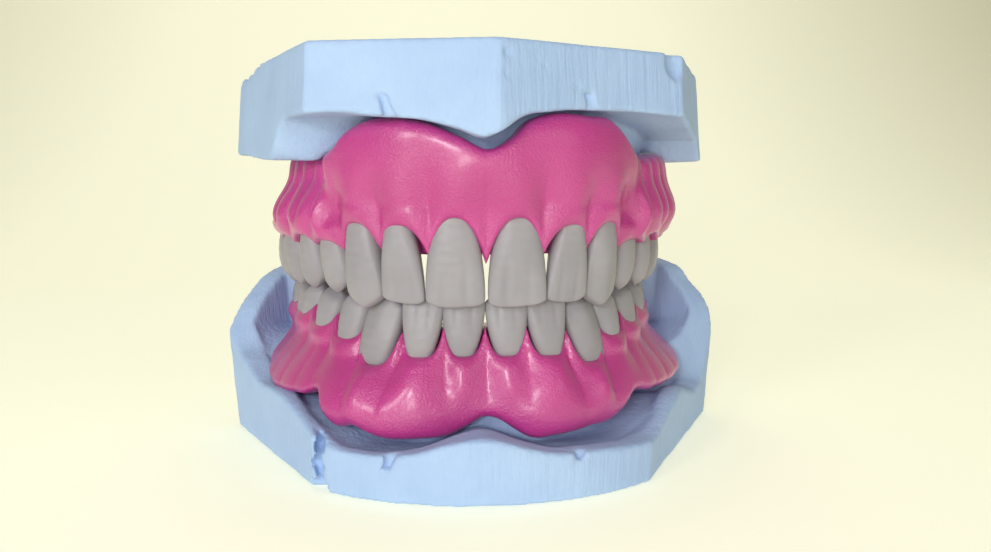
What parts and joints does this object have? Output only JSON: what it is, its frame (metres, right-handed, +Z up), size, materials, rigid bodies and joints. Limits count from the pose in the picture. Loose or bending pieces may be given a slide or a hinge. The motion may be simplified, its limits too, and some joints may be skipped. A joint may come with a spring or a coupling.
{
  "type": "complete dentures on stone casts",
  "caption": "Upper and lower complete dentures closed in bite, each seated on its trimmed stone cast; both dentures and the upper cast lift apart.",
  "frame": {"origin": "centre of the whole stack's bounding box, at the underside of the lower cast", "axes": "+Z up, towards the upper cast; the front teeth face -Y; +X is the wearer's left"},
  "size_m": [0.0856, 0.0626, 0.0623],
  "materials": {
    "blue_stone": "dry pale blue dental stone, matt, with trimming marks and pits",
    "pink_acrylic": "polished and stippled pink denture acrylic",
    "tooth_acrylic": "glossy ivory-grey artificial teeth"
  },
  "bodies": {
    "lower_cast": {"lower_cast": "blue_stone"},
    "lower_denture": {"lower_denture_base": "pink_acrylic", "lower_right_central_incisor": "tooth_acrylic", "lower_left_central_incisor": "tooth_acrylic", "lower_right_lateral_incisor": "tooth_acrylic", "lower_left_lateral_incisor": "tooth_acrylic", "lower_right_canine": "tooth_acrylic", "lower_left_canine": "tooth_acrylic", "lower_right_first_premolar": "tooth_acrylic", "lower_left_first_premolar": "tooth_acrylic", "lower_right_second_premolar": "tooth_acrylic", "lower_left_second_premolar": "tooth_acrylic", "lower_right_first_molar": "tooth_acrylic", "lower_left_first_molar": "tooth_acrylic", "lower_right_second_molar": "tooth_acrylic", "lower_left_second_molar": "tooth_acrylic"},
    "upper_denture": {"upper_denture_base": "pink_acrylic", "upper_right_central_incisor": "tooth_acrylic", "upper_left_central_incisor": "tooth_acrylic", "upper_right_lateral_incisor": "tooth_acrylic", "upper_left_lateral_incisor": "tooth_acrylic", "upper_right_canine": "tooth_acrylic", "upper_left_canine": "tooth_acrylic", "upper_right_first_premolar": "tooth_acrylic", "upper_left_first_premolar": "tooth_acrylic", "upper_right_second_premolar": "tooth_acrylic", "upper_left_second_premolar": "tooth_acrylic", "upper_right_first_molar": "tooth_acrylic", "upper_left_first_molar": "tooth_acrylic", "upper_right_second_molar": "tooth_acrylic", "upper_left_second_molar": "tooth_acrylic"},
    "upper_cast": {"upper_cast": "blue_stone"}
  },
  "joints": [
    {"name": "lower_denture_lift", "type": "slide", "parent": "lower_cast", "child": "lower_denture", "axis": [0, 0, 1], "range_m": [0, 0.03]},
    {"name": "bite_opening", "type": "slide", "parent": "lower_denture", "child": "upper_denture", "axis": [0, 0, 1], "range_m": [0, 0.03]},
    {"name": "upper_cast_lift", "type": "slide", "parent": "upper_denture", "child": "upper_cast", "axis": [0, 0, 1], "range_m": [0, 0.03]}
  ]
}
